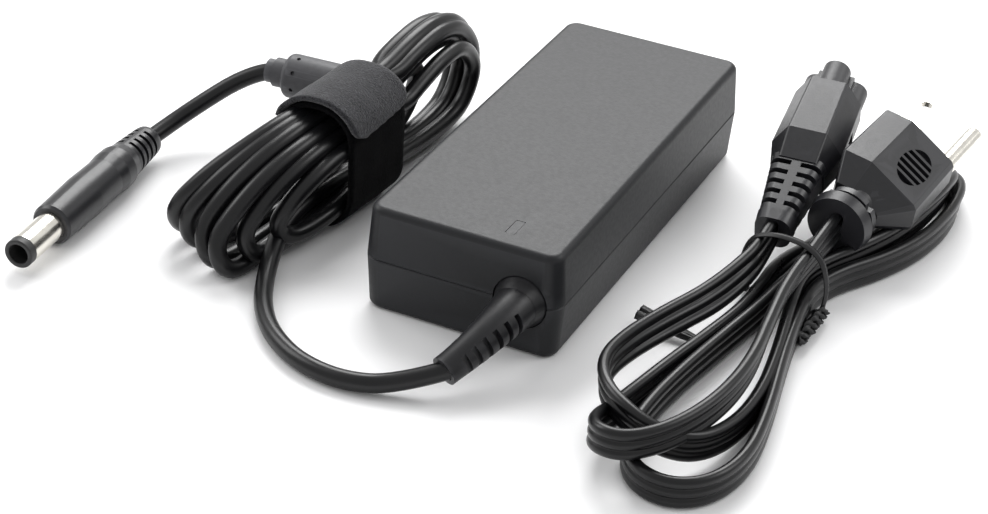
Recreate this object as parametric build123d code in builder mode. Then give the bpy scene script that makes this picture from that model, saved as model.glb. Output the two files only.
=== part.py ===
from build123d import *
import math
import os

# Laptop power adapter: moulded two-shell brick, a tied DC lead on its left,
# and a separate tied mains lead on its right.
# Millimetres. +Z up, +Y towards the mains inlet, origin at the centre of the
# brick's underside. Everything lies on the plane Z = 0.

os.makedirs("parts", exist_ok=True)

# ---------------------------------------------------------------- dimensions
case_width = 50.0
case_length = 116.4
case_height = 27.0
parting_height = 13.7
wall = 2.0
draft_top = 4.2
draft_bottom = 3.7
plan_radius = 4.5
edge_radius = 1.8
parting_gap = 0.3
lip_thickness = 0.8
lip_height = 1.4
fit = 0.1

dc_cord_diameter = 4.5
dc_exit_x = 15.5
dc_exit_z = 13.7

mains_cord_width = 7.6
mains_cord_thickness = 2.8

front_y = -case_length / 2
rear_y = case_length / 2

# ---------------------------------------------------------------- case shells
top_depth = case_height - parting_height
relief_flange_radius = 6.6
relief_neck_radius = 4.6
relief_seat_y = front_y + 0.9

inlet_width = 21.6
inlet_height = 15.4
inlet_depth = 16.0
inlet_z = 13.7

window_width = 2.2
window_length = 6.0
window_x = 9.4
window_y = -48.8

label_width = 36.0
label_length = 84.0
label_recess = 0.4

with BuildPart() as top_cover:
    with BuildSketch(Plane.XY.offset(parting_height)):
        RectangleRounded(case_width, case_length, plan_radius)
    extrude(amount=top_depth, taper=draft_top)
    fillet(top_cover.faces().sort_by(Axis.Z)[-1].edges(), radius=edge_radius)
    chamfer(top_cover.faces().sort_by(Axis.Z)[0].edges(), length=parting_gap)
    with BuildSketch(Plane.XY.offset(parting_height)):
        RectangleRounded(case_width - 2 * wall, case_length - 2 * wall, plan_radius - wall)
    extrude(amount=top_depth - wall, taper=draft_top, mode=Mode.SUBTRACT)
    # seat of the DC strain relief, half in each shell
    with BuildSketch(Plane((dc_exit_x, relief_seat_y, dc_exit_z), x_dir=(1, 0, 0), z_dir=(0, 1, 0))):
        Circle(relief_neck_radius + fit)
    extrude(amount=wall + 2, mode=Mode.SUBTRACT)
    with BuildSketch(Plane((dc_exit_x, relief_seat_y, dc_exit_z), x_dir=(1, 0, 0), z_dir=(0, -1, 0))):
        Circle(relief_flange_radius + fit)
    extrude(amount=4, mode=Mode.SUBTRACT)
    # opening for the mains inlet
    with BuildSketch(Plane((0, rear_y + 1, inlet_z), x_dir=(1, 0, 0), z_dir=(0, -1, 0))):
        Rectangle(inlet_width + 2 * fit, inlet_height + 2 * fit)
    extrude(amount=8, mode=Mode.SUBTRACT)
    # slot for the indicator window
    with BuildSketch(Plane.XY.offset(case_height)):
        with Locations((window_x, window_y)):
            Rectangle(window_width + 2 * fit, window_length + 2 * fit)
    extrude(amount=-2 * wall, mode=Mode.SUBTRACT)

with BuildPart() as bottom_case:
    with BuildSketch(Plane.XY.offset(parting_height)):
        RectangleRounded(case_width, case_length, plan_radius)
    extrude(amount=-parting_height, taper=draft_bottom)
    fillet(bottom_case.faces().sort_by(Axis.Z)[0].edges(), radius=edge_radius)
    chamfer(bottom_case.faces().sort_by(Axis.Z)[-1].edges(), length=parting_gap)
    # lip that locates the top cover
    with BuildSketch(Plane.XY.offset(parting_height)):
        RectangleRounded(case_width - 2 * wall - 0.4, case_length - 2 * wall - 0.4, plan_radius - wall)
    extrude(amount=lip_height, taper=draft_top)
    with BuildSketch(Plane.XY.offset(wall)):
        RectangleRounded(
            case_width - 2 * (wall + lip_thickness),
            case_length - 2 * (wall + lip_thickness),
            plan_radius - wall - 0.3,
        )
    extrude(amount=case_height, mode=Mode.SUBTRACT)
    # posts that carry the circuit board
    with BuildSketch(Plane.XY.offset(wall)):
        with Locations((0, -6)):
            with GridLocations(38, 84, 2, 2):
                Circle(2.0)
    extrude(amount=4.0)
    # recess for the rating label
    with BuildSketch(Plane.XY):
        RectangleRounded(label_width, label_length, 2.0)
    extrude(amount=label_recess, mode=Mode.SUBTRACT)
    with BuildSketch(Plane((dc_exit_x, relief_seat_y, dc_exit_z), x_dir=(1, 0, 0), z_dir=(0, 1, 0))):
        Circle(relief_neck_radius + fit)
    extrude(amount=wall + 2, mode=Mode.SUBTRACT)
    with BuildSketch(Plane((dc_exit_x, relief_seat_y, dc_exit_z), x_dir=(1, 0, 0), z_dir=(0, -1, 0))):
        Circle(relief_flange_radius + fit)
    extrude(amount=4, mode=Mode.SUBTRACT)
    with BuildSketch(Plane((0, rear_y + 1, inlet_z), x_dir=(1, 0, 0), z_dir=(0, -1, 0))):
        Rectangle(inlet_width + 2 * fit, inlet_height + 2 * fit)
    extrude(amount=8, mode=Mode.SUBTRACT)

top_cover.part.label = "top_cover"
bottom_case.part.label = "bottom_case"
export_step(top_cover.part, "parts/top_cover.step")
export_step(bottom_case.part, "parts/bottom_case.step")

with BuildPart() as indicator_window:
    with BuildSketch(Plane.XY.offset(case_height - 0.05)):
        with Locations((window_x, window_y)):
            RectangleRounded(window_width, window_length, 0.35)
    extrude(amount=-3.4)
indicator_window.part.label = "indicator_window"
export_step(indicator_window.part, "parts/indicator_window.step")

with BuildPart() as rating_label:
    with BuildSketch(Plane.XY.offset(label_recess)):
        RectangleRounded(label_width - 0.6, label_length - 0.6, 1.8)
    extrude(amount=-0.2)
rating_label.part.label = "rating_label"
export_step(rating_label.part, "parts/rating_label.step")

# ---------------------------------------------------------------- mains inlet
# Three-pin cloverleaf inlet: line and neutral below, earth above.
lobe_radius = 4.1
lobe_spread = 4.8
line_drop = 2.3
earth_rise = 3.3
inlet_recess = 12.0
pin_radius = 1.15
pin_centres = [(-lobe_spread, -line_drop), (lobe_spread, -line_drop), (0, earth_rise)]
inlet_face = Plane((0, rear_y - 0.5, inlet_z), x_dir=(1, 0, 0), z_dir=(0, -1, 0))


def clover(radius):
    """Cloverleaf outline of the appliance coupler, in the plane of the face."""
    with BuildSketch() as outline:
        with Locations(*pin_centres):
            Circle(radius)
        Rectangle(2 * lobe_spread, 2 * line_drop + radius, align=(Align.CENTER, Align.CENTER))
    return outline.sketch


with BuildPart() as inlet_housing:
    with BuildSketch(inlet_face):
        RectangleRounded(inlet_width, inlet_height, 1.2)
    extrude(amount=inlet_depth)
    with BuildSketch(inlet_face):
        add(clover(lobe_radius))
    extrude(amount=inlet_recess, mode=Mode.SUBTRACT)
    with BuildSketch(inlet_face.offset(inlet_recess)):
        with Locations(*pin_centres):
            Circle(pin_radius)
    extrude(amount=inlet_depth, mode=Mode.SUBTRACT)
inlet_housing.part.label = "inlet_housing"
export_step(inlet_housing.part, "parts/inlet_housing.step")

with BuildPart() as inlet_pins:
    with BuildSketch(inlet_face.offset(2.0)):
        with Locations(*pin_centres):
            Circle(pin_radius)
    extrude(amount=inlet_depth + 1.0)
    chamfer(inlet_pins.edges().group_by(Axis.Y)[-1], length=0.4)
inlet_pins.part.label = "inlet_pins"
export_step(inlet_pins.part, "parts/inlet_pins.step")

# ---------------------------------------------------------------- electronics
board_width = 44.0
board_length = 92.0
board_thickness = 1.6
board_y = -8.0
board_z = wall + 4.0
board_top = board_z + board_thickness

with BuildPart() as insulator_sheet:
    with BuildSketch(Plane.XY.offset(wall + 4.0 - 1.2)):
        with Locations((0, board_y)):
            RectangleRounded(board_width - 2, board_length, 2)
        with Locations((0, -6)):
            with GridLocations(38, 84, 2, 2):
                Circle(2.3, mode=Mode.SUBTRACT)
    extrude(amount=0.4)
insulator_sheet.part.label = "insulator_sheet"
export_step(insulator_sheet.part, "parts/insulator_sheet.step")

with BuildPart() as circuit_board:
    with BuildSketch(Plane.XY.offset(board_z)):
        with Locations((0, board_y)):
            RectangleRounded(board_width, board_length, 1.5)
    extrude(amount=board_thickness)
circuit_board.part.label = "circuit_board"
export_step(circuit_board.part, "parts/circuit_board.step")

with BuildPart() as heat_spreader:
    with BuildSketch(Plane.XY.offset(case_height - wall - 0.9)):
        with Locations((0, 2)):
            RectangleRounded(board_width - 4, board_length - 8, 2)
    extrude(amount=0.6)
heat_spreader.part.label = "heat_spreader"
export_step(heat_spreader.part, "parts/heat_spreader.step")

with BuildPart() as mains_fuse:
    with BuildSketch(Plane((-16, 14, board_top + 3.2), x_dir=(1, 0, 0), z_dir=(0, 1, 0))):
        Circle(2.4)
    extrude(amount=13)
    with BuildSketch(Plane((-16, 9.5, board_top + 3.2), x_dir=(1, 0, 0), z_dir=(0, 1, 0))):
        Circle(2.7)
    extrude(amount=4.5)
    with BuildSketch(Plane((-16, 27, board_top + 3.2), x_dir=(1, 0, 0), z_dir=(0, 1, 0))):
        Circle(2.7)
    extrude(amount=4.5)
mains_fuse.part.label = "mains_fuse"
export_step(mains_fuse.part, "parts/mains_fuse.step")

with BuildPart() as x_capacitor:
    with BuildSketch(Plane.XY.offset(board_top)):
        with Locations((2, 31)):
            Rectangle(18, 8)
    extrude(amount=14)
    fillet(x_capacitor.edges().filter_by(Axis.Z), radius=0.8)
x_capacitor.part.label = "x_capacitor"
export_step(x_capacitor.part, "parts/x_capacitor.step")

with BuildPart() as choke_core:
    with BuildSketch(Plane.XY.offset(board_top + 2.0)):
        with Locations((-3, 16)):
            Circle(8.0)
            Circle(4.4, mode=Mode.SUBTRACT)
    extrude(amount=8)
choke_core.part.label = "choke_core"
export_step(choke_core.part, "parts/choke_core.step")

with BuildPart() as choke_windings:
    for side in (-1, 1):
        with BuildSketch(Plane((-3 + side * 6.2, 16, board_top + 6), x_dir=(1, 0, 0), z_dir=(0, 1, 0))):
            RectangleRounded(5.6, 10.8, 1.2)
            Rectangle(3.8, 8.2, mode=Mode.SUBTRACT)
        extrude(amount=4.2, both=True)
    with BuildSketch(Plane.XY.offset(board_top + 1.9)):
        with Locations((-3, 16)):
            Circle(8.1)
            Circle(4.3, mode=Mode.SUBTRACT)
    extrude(amount=8.2, mode=Mode.SUBTRACT)
choke_windings.part.label = "choke_windings"
export_step(choke_windings.part, "parts/choke_windings.step")

with BuildPart() as bridge_rectifier:
    with BuildSketch(Plane.XY.offset(board_top + 2.0)):
        with Locations((-14, 5)):
            Rectangle(13, 3.4)
    extrude(amount=11)
bridge_rectifier.part.label = "bridge_rectifier"
export_step(bridge_rectifier.part, "parts/bridge_rectifier.step")

with BuildPart() as bulk_capacitor:
    with BuildSketch(Plane((-12, -22, board_top + 8.1), x_dir=(1, 0, 0), z_dir=(0, 1, 0))):
        Circle(8.0)
    extrude(amount=24)
    fillet(bulk_capacitor.edges(), radius=0.8)
bulk_capacitor.part.label = "bulk_capacitor"
export_step(bulk_capacitor.part, "parts/bulk_capacitor.step")

with BuildPart() as primary_heatsink:
    with BuildSketch(Plane.XY.offset(board_top)):
        with Locations((20, 10)):
            Rectangle(1.6, 34)
        with Locations((17, 26.2)):
            Rectangle(7.6, 1.6)
    extrude(amount=15)
primary_heatsink.part.label = "primary_heatsink"
export_step(primary_heatsink.part, "parts/primary_heatsink.step")

with BuildPart() as switching_transistor:
    with BuildSketch(Plane.XY.offset(board_top + 1.5)):
        with Locations((16.9, 8)):
            Rectangle(4.4, 10)
    extrude(amount=13)
switching_transistor.part.label = "switching_transistor"
export_step(switching_transistor.part, "parts/switching_transistor.step")

core_x = 8.0
core_y = -17.0
with BuildPart() as transformer_core:
    with BuildSketch(Plane((core_x, core_y + 5, board_top + 8), x_dir=(1, 0, 0), z_dir=(0, -1, 0))):
        Rectangle(23, 15)
        with GridLocations(13, 0, 2, 1):
            Rectangle(5.6, 9, mode=Mode.SUBTRACT)
    extrude(amount=10)
transformer_core.part.label = "transformer_core"
export_step(transformer_core.part, "parts/transformer_core.step")

with BuildPart() as transformer_winding:
    with BuildSketch(Plane.XY.offset(board_top + 3.7)):
        with Locations((core_x, core_y)):
            RectangleRounded(18.2, 19.6, 3.5)
            Rectangle(7.8, 10.4, mode=Mode.SUBTRACT)
    extrude(amount=8.6)
transformer_winding.part.label = "transformer_winding"
export_step(transformer_winding.part, "parts/transformer_winding.step")

with BuildPart() as y_capacitor:
    with BuildSketch(Plane((-4.5, -34, board_top + 5.2), x_dir=(1, 0, 0), z_dir=(0, 1, 0))):
        Circle(4.2)
    extrude(amount=3)
    fillet(y_capacitor.edges(), radius=0.9)
y_capacitor.part.label = "y_capacitor"
export_step(y_capacitor.part, "parts/y_capacitor.step")

with BuildPart() as optocoupler:
    with BuildSketch(Plane.XY.offset(board_top)):
        with Locations((15, -33)):
            Rectangle(6.4, 4.6)
    extrude(amount=3.4)
optocoupler.part.label = "optocoupler"
export_step(optocoupler.part, "parts/optocoupler.step")

with BuildPart() as secondary_heatsink:
    with BuildSketch(Plane.XY.offset(board_top)):
        with Locations((-20, -38)):
            Rectangle(1.6, 26)
    extrude(amount=15)
secondary_heatsink.part.label = "secondary_heatsink"
export_step(secondary_heatsink.part, "parts/secondary_heatsink.step")

with BuildPart() as output_rectifier:
    with BuildSketch(Plane.XY.offset(board_top + 1.5)):
        with Locations((-16.9, -36)):
            Rectangle(4.4, 10)
    extrude(amount=13)
output_rectifier.part.label = "output_rectifier"
export_step(output_rectifier.part, "parts/output_rectifier.step")

with BuildPart() as output_capacitors:
    with BuildSketch(Plane.XY.offset(board_top)):
        with Locations((-7, -44), (4, -42)):
            Circle(4.9)
    extrude(amount=15.5)
    fillet(output_capacitors.edges(), radius=0.6)
output_capacitors.part.label = "output_capacitors"
export_step(output_capacitors.part, "parts/output_capacitors.step")

with BuildPart() as indicator_led:
    with BuildSketch(Plane.XY.offset(case_height - 6.4)):
        with Locations((window_x + 1.6, window_y)):
            Circle(1.5)
    extrude(amount=-4.2)
    with BuildSketch(Plane.XY.offset(board_top)):
        with Locations((window_x + 1.0, window_y), (window_x + 2.2, window_y)):
            Circle(0.25)
    extrude(amount=case_height - 6.4 - 4.2 - board_top)
indicator_led.part.label = "indicator_led"
export_step(indicator_led.part, "parts/indicator_led.step")

# ---------------------------------------------------------------- DC strain relief
# Domed flange on the front face, then a slotted taper that bends down and to
# the left until the cord meets the surface.
relief_start = Vector(dc_exit_x, relief_seat_y, dc_exit_z)
relief_end = Vector(8.6, -81.8, 6.6)
relief_end_direction = Vector(-10.0, -21.0, -8.0).normalized()
lead_direction = Vector(-9.1, -5.6, -3.4).normalized()
relief_radii = [5.6, 5.3, 4.7, 4.2, 3.8, 3.6]
relief_steps = [0.0, 0.15, 0.36, 0.58, 0.80, 1.0]

with BuildPart() as dc_strain_relief:
    with BuildLine() as relief_line:
        relief_axis = Spline(
            relief_start,
            relief_end,
            tangents=[Vector(0, -1, 0), relief_end_direction],
        )
    for step, radius in zip(relief_steps, relief_radii):
        with BuildSketch(Plane(relief_axis @ step, z_dir=relief_axis % step)):
            Circle(radius)
    loft()
    with BuildSketch(Plane(relief_start, x_dir=(1, 0, 0), z_dir=(0, -1, 0))):
        Circle(relief_flange_radius)
    extrude(amount=3.6, taper=20)
    # flexing slots on the two sides
    for slot in range(6):
        at = 0.30 + slot * 0.105
        along = relief_axis % at
        side = along.cross(Vector(0, 0, 1)).normalized()
        for hand in (-1, 1):
            centre = (relief_axis @ at) + side * (hand * 4.3)
            with BuildSketch(Plane(centre, x_dir=side, z_dir=along)):
                Rectangle(3.6, 6.4)
            extrude(amount=0.65, both=True, mode=Mode.SUBTRACT)
    # mouth that the cord leaves by
    with BuildSketch(Plane(relief_end, z_dir=lead_direction)):
        Circle(dc_cord_diameter / 2 + 0.05)
    extrude(amount=3.0, both=True, mode=Mode.SUBTRACT)
    # neck through the wall and the flange that holds it inside
    with BuildSketch(Plane((dc_exit_x, relief_seat_y, dc_exit_z), x_dir=(1, 0, 0), z_dir=(0, 1, 0))):
        Circle(relief_neck_radius)
    extrude(amount=2.4)
    with BuildSketch(Plane((dc_exit_x, relief_seat_y + 2.4, dc_exit_z), x_dir=(1, 0, 0), z_dir=(0, 1, 0))):
        Circle(5.6)
    extrude(amount=1.6)
dc_strain_relief.part.label = "dc_strain_relief"
export_step(dc_strain_relief.part, "parts/dc_strain_relief.step")

with BuildPart() as output_wires:
    for side in (-1, 1):
        start = Vector(dc_exit_x + side * 1.3, relief_seat_y + 4.0, dc_exit_z)
        with BuildSketch(Plane(start, x_dir=(1, 0, 0), z_dir=(0, 1, 0))):
            Circle(0.9)
        extrude(amount=3.0)
        with BuildSketch(Plane(start + Vector(0, 2.1, 0), x_dir=(1, 0, 0), z_dir=(0, 0, -1))):
            Circle(0.9)
        extrude(amount=dc_exit_z - board_top)
output_wires.part.label = "output_wires"
export_step(output_wires.part, "parts/output_wires.step")

# ---------------------------------------------------------------- DC lead
# Round PVC lead: out of the strain relief, round on the surface, into the tied
# hank beside the brick, through the ferrite, down to the plug.
cord_radius = dc_cord_diameter / 2
floor_z = cord_radius + 0.05

lead_route = [
    (8.6, -81.8, 6.6),
    (-0.5, -87.4, 3.2),
    (-11.8, -90.6, floor_z),
    (-24.0, -88.8, floor_z),
    (-35.0, -82.0, floor_z),
    (-43.8, -71.5, floor_z),
    (-49.0, -59.0, floor_z + 0.5),
    (-51.2, -46.0, floor_z + 1.4),
    (-51.2, -35.5, floor_z + 3.2),
]
tail_route = [
    (-84.0, 1.7, 20.0),
    (-90.6, -1.4, 17.6),
    (-97.4, -7.0, 12.4),
    (-102.4, -15.0, 7.8),
    (-104.5, -24.2, 5.8),
]


def corner_radii(route):
    """Arc radius at each inner point: as large as its two runs allow."""
    radii = []
    for before, corner, after in zip(route, route[1:], route[2:]):
        first = Vector(*corner) - Vector(*before)
        second = Vector(*after) - Vector(*corner)
        turn = math.radians(first.get_angle(second))
        shorter = min(first.length, second.length)
        radii.append(0.45 * shorter / math.tan(turn / 2))
    return radii


def cord_tube(route, radius):
    """Plain round tube along straight runs joined by tangent arcs."""
    radii = corner_radii(route)
    with BuildPart() as tube:
        with BuildLine() as line:
            FilletPolyline(*route, radius=radii)
        start = Vector(*route[0])
        with BuildSketch(Plane(start, z_dir=Vector(*route[1]) - start)):
            Circle(radius)
        sweep(path=line.wires()[0])
    length = line.wires()[0].length
    print("cord run", round(length, 1), "mm, radii", [round(r, 1) for r in radii])
    print("  volume / (section x length)", round(tube.part.volume / (math.pi * radius**2 * length), 4))
    return tube.part


with BuildPart() as dc_cord_lead:
    add(cord_tube(lead_route, cord_radius))
dc_cord_lead.part.label = "dc_cord_lead"
export_step(dc_cord_lead.part, "parts/dc_cord_lead.step")

with BuildPart() as dc_cord_tail:
    add(cord_tube(tail_route, cord_radius))
dc_cord_tail.part.label = "dc_cord_tail"
export_step(dc_cord_tail.part, "parts/dc_cord_tail.step")

# hook-and-loop strap: a band round the waist of the hank
strap_x = -51.0
strap_z = 16.8
strap_width = 20.4
strap_height = 33.2
strap_thickness = 1.4
strap_near_y = -31.0
strap_far_y = -8.0
strap_corner = 8.0
strap_plane = Plane((strap_x, strap_near_y, strap_z), x_dir=(1, 0, 0), z_dir=(0, -1, 0))

with BuildPart() as cable_strap:
    with BuildSketch(strap_plane):
        RectangleRounded(strap_width, strap_height, strap_corner)
        RectangleRounded(
            strap_width - 2 * strap_thickness,
            strap_height - 2 * strap_thickness,
            strap_corner - strap_thickness,
            mode=Mode.SUBTRACT,
        )
    extrude(amount=strap_near_y - strap_far_y)
    fillet(cable_strap.edges().filter_by(Axis.Y, reverse=True), radius=0.4)
cable_strap.part.label = "cable_strap"
export_step(cable_strap.part, "parts/cable_strap.step")

# free end of the strap, lapped over the band and down its right side
lap_gap = 0.35
lap_thickness = 1.3
lap_root_x = -55.5
lap_end_z = 23.6
with BuildPart() as cable_strap_tail:
    with BuildSketch(strap_plane.offset(-0.6)):
        RectangleRounded(
            strap_width + 2 * (lap_gap + lap_thickness),
            strap_height + 2 * (lap_gap + lap_thickness),
            strap_corner + lap_gap + lap_thickness,
        )
        RectangleRounded(
            strap_width + 2 * lap_gap,
            strap_height + 2 * lap_gap,
            strap_corner + lap_gap,
            mode=Mode.SUBTRACT,
        )
    extrude(amount=strap_near_y - strap_far_y + 1.2)
    split(bisect_by=Plane.YZ.offset(lap_root_x), keep=Keep.TOP)
    split(bisect_by=Plane.XY.offset(lap_end_z), keep=Keep.TOP)
    end_edges = cable_strap_tail.edges().filter_by(Axis.X).group_by(Axis.Z)[0]
    fillet(end_edges, radius=4.0)
cable_strap_tail.part.label = "cable_strap_tail"
export_step(cable_strap_tail.part, "parts/cable_strap_tail.step")

# ferrite choke moulded on the lead, lying against the far side of the hank
ferrite_left = Vector(-78.6, 2.0, 20.0)
ferrite_direction = Vector(1.0, 0.06, 0.0).normalized()
ferrite_plane = Plane(ferrite_left, x_dir=(0.06, -1, 0), z_dir=ferrite_direction)
ferrite_length = 22.0
ferrite_radius = 5.8
ferrite_core_radius = 4.6

with BuildPart() as ferrite_core:
    with BuildSketch(ferrite_plane.offset(2.0)):
        Circle(ferrite_core_radius)
        Circle(cord_radius + 0.05, mode=Mode.SUBTRACT)
    extrude(amount=ferrite_length - 4.0)
ferrite_core.part.label = "ferrite_core"
export_step(ferrite_core.part, "parts/ferrite_core.step")

with BuildPart() as ferrite_sleeve:
    with BuildSketch(ferrite_plane):
        Circle(ferrite_radius)
    extrude(amount=ferrite_length)
    fillet(ferrite_sleeve.edges(), radius=1.6)
    # small collars that grip the cord at the outer end
    with BuildSketch(ferrite_plane.offset(-5.4)):
        Circle(3.1)
    extrude(amount=7.0)
    with BuildSketch(ferrite_plane.offset(-3.2)):
        Circle(3.8)
    extrude(amount=4.0)
    with BuildSketch(ferrite_plane.offset(2.0 - 0.05)):
        Circle(ferrite_core_radius + 0.05)
    extrude(amount=ferrite_length - 4.0 + 0.1, mode=Mode.SUBTRACT)
    with BuildSketch(ferrite_plane.offset(-8.0)):
        Circle(cord_radius)
    extrude(amount=ferrite_length + 12.0, mode=Mode.SUBTRACT)
    # core-pin holes round the outer end
    for eighth in range(8):
        angle = math.radians(10 + 45 * eighth)
        hole = ferrite_plane.from_local_coords((5.2 * math.cos(angle), 5.2 * math.sin(angle), 3.6))
        outward = ferrite_plane.from_local_coords((math.cos(angle), math.sin(angle), 0)) - ferrite_left
        with BuildSketch(Plane(hole, z_dir=outward)):
            Circle(0.55)
        extrude(amount=3.0, mode=Mode.SUBTRACT)
ferrite_sleeve.part.label = "ferrite_sleeve"
export_step(ferrite_sleeve.part, "parts/ferrite_sleeve.step")

# tied hank: closed solid of the outer shape of its turns
hank_sections = [
    # y, centre x, centre z, half width, half height
    (-68.0, -61.0, 10.0, 6.0, 6.5),
    (-61.0, -62.5, 11.6, 12.5, 10.8),
    (-50.0, -61.5, 13.8, 14.5, 13.2),
    (-36.0, -54.0, 16.6, 11.5, 16.0),
]
hank_far_sections = [
    (-3.0, -49.8, 18.2, 9.8, 16.8),
    (10.0, -48.6, 19.0, 10.4, 17.8),
    (24.0, -47.8, 18.8, 10.4, 17.4),
    (36.0, -47.2, 17.2, 9.0, 13.0),
    (43.0, -46.8, 16.5, 4.5, 6.5),
]
with BuildPart() as dc_cord_hank:
    for stations in (hank_sections, hank_far_sections):
        for y, x, z, half_width, half_height in stations:
            with BuildSketch(Plane((x, y, z), x_dir=(1, 0, 0), z_dir=(0, -1, 0))):
                Ellipse(half_width, half_height)
        loft()
    with BuildSketch(Plane((strap_x, -36.0, strap_z), x_dir=(1, 0, 0), z_dir=(0, 1, 0))):
        RectangleRounded(
            strap_width - 2 * strap_thickness - 0.1,
            strap_height - 2 * strap_thickness - 0.1,
            strap_corner - strap_thickness,
        )
    extrude(amount=33.0)
    # room for the ferrite and its collar
    with BuildSketch(ferrite_plane.offset(-1)):
        Circle(ferrite_radius + 0.1)
    extrude(amount=ferrite_length + 1.1, mode=Mode.SUBTRACT)
dc_cord_hank.part.label = "dc_cord_hank"
export_step(dc_cord_hank.part, "parts/dc_cord_hank.step")

# ---------------------------------------------------------------- DC plug
plug_start = Vector(-104.5, -24.2, 5.8)
plug_direction = Vector(0.065, -1.0, 0.0).normalized()
plug_plane = Plane(plug_start, z_dir=plug_direction)
plug_side = Plane(plug_start, x_dir=plug_direction, z_dir=plug_direction.cross(Vector(0, 0, 1)))
plug_axis = Axis(plug_start, plug_direction)
relief_rings = 5
ring_pitch = 2.5
plug_relief_length = 12.5
handle_length = 35.5
barrel_radius = 3.7
barrel_bore = 3.0
barrel_length = 12.4
tip_length = 2.4
shank_radius = 3.45
shank_length = 7.9
shank_relief = 0.15
handle_end = plug_relief_length + handle_length
barrel_end = handle_end + barrel_length
tip_end = barrel_end + tip_length

with BuildPart() as dc_plug_handle:
    with BuildSketch(plug_side):
        with BuildLine():
            Polyline(
                (0, 0),
                (0, 3.9),
                (1.0, 4.1),
                (plug_relief_length, 4.9),
                (plug_relief_length + 3.0, 5.6),
                (plug_relief_length + 6.5, 5.7),
                (plug_relief_length + 10.0, 5.35),
                (plug_relief_length + 20.0, 5.6),
                (handle_end - 0.8, 5.2),
                (handle_end, 4.7),
                (handle_end, 0),
                close=True,
            )
        make_face()
    revolve(axis=plug_axis)
    # slotted rings of the strain relief, bridged on two sides
    for ring in range(relief_rings - 1):
        with BuildSketch(plug_plane.offset(2.6 + ring * ring_pitch)):
            Circle(5.6)
            Circle(3.1, mode=Mode.SUBTRACT)
            Rectangle(1.5, 12, mode=Mode.SUBTRACT)
        extrude(amount=1.1, mode=Mode.SUBTRACT)
    # bore for the cord, then the seat of the barrel
    with BuildSketch(plug_plane.offset(-1)):
        Circle(cord_radius)
    extrude(amount=9.0, mode=Mode.SUBTRACT)
    with BuildSketch(plug_plane.offset(handle_end)):
        Circle(shank_radius + 0.02)
    extrude(amount=-shank_length - 0.1, mode=Mode.SUBTRACT)
dc_plug_handle.part.label = "dc_plug_handle"
export_step(dc_plug_handle.part, "parts/dc_plug_handle.step")

with BuildPart() as dc_plug_barrel:
    # narrower shank held in the handle, then the barrel itself
    with BuildSketch(plug_plane.offset(handle_end - shank_length)):
        Circle(shank_radius)
        Circle(barrel_bore, mode=Mode.SUBTRACT)
    extrude(amount=shank_length + shank_relief)
    with BuildSketch(plug_plane.offset(handle_end + shank_relief)):
        Circle(barrel_radius)
        Circle(barrel_bore, mode=Mode.SUBTRACT)
    extrude(amount=barrel_length - shank_relief)
dc_plug_barrel.part.label = "dc_plug_barrel"
export_step(dc_plug_barrel.part, "parts/dc_plug_barrel.step")

with BuildPart() as dc_plug_liner:
    with BuildSketch(plug_plane.offset(handle_end - 5.0)):
        Circle(barrel_bore - 0.02)
        Circle(2.5, mode=Mode.SUBTRACT)
    extrude(amount=barrel_length + 5.0)
    with BuildSketch(plug_plane.offset(handle_end - 5.0)):
        Circle(barrel_bore - 0.02)
        Circle(0.32, mode=Mode.SUBTRACT)
    extrude(amount=2.5)
dc_plug_liner.part.label = "dc_plug_liner"
export_step(dc_plug_liner.part, "parts/dc_plug_liner.step")

with BuildPart() as dc_plug_tip_ring:
    with BuildSketch(plug_plane.offset(barrel_end)):
        Circle(barrel_radius)
        Circle(2.5, mode=Mode.SUBTRACT)
    extrude(amount=tip_length)
    fillet(dc_plug_tip_ring.edges().sort_by(plug_axis)[-2:], radius=0.4)
dc_plug_tip_ring.part.label = "dc_plug_tip_ring"
export_step(dc_plug_tip_ring.part, "parts/dc_plug_tip_ring.step")

with BuildPart() as dc_plug_centre_pin:
    with BuildSketch(plug_plane.offset(handle_end - 5.0)):
        Circle(0.3)
    extrude(amount=barrel_length + 3.0)
dc_plug_centre_pin.part.label = "dc_plug_centre_pin"
export_step(dc_plug_centre_pin.part, "parts/dc_plug_centre_pin.step")

# ---------------------------------------------------------------- appliance connector
# Three-hole cloverleaf connector on the mains lead. Its local Z runs from the
# strain relief to the nose, its local X is level.
connector_start = Vector(54.9, 0.4, 14.2)
connector_tip = Vector(50.9, 54.6, 30.0)
connector_direction = (connector_tip - connector_start).normalized()
level_side = Vector(0, 0, 1).cross(connector_direction).normalized()
connector_plane = Plane(connector_start, x_dir=level_side, z_dir=connector_direction)
connector_length = (connector_tip - connector_start).length
nose_length = 8.4
nose_radius = 3.5
nose_spread = 4.6
nose_centres = [(-nose_spread, -2.4), (nose_spread, -2.4), (0, 3.4)]
shoulder = connector_length - nose_length


def connector_outline(half_bottom, half_top, bottom, top, cut):
    """Eight-sided body section: broad below for line and neutral, narrow above."""
    with BuildSketch() as outline:
        with BuildLine():
            Polyline(
                (-half_bottom + cut, bottom),
                (half_bottom - cut, bottom),
                (half_bottom, bottom + cut),
                (half_bottom, 1.0),
                (half_top, top),
                (-half_top, top),
                (-half_bottom, 1.0),
                (-half_bottom, bottom + cut),
                close=True,
            )
        make_face()
        fillet(outline.vertices(), radius=0.8)
    return outline.sketch


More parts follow.
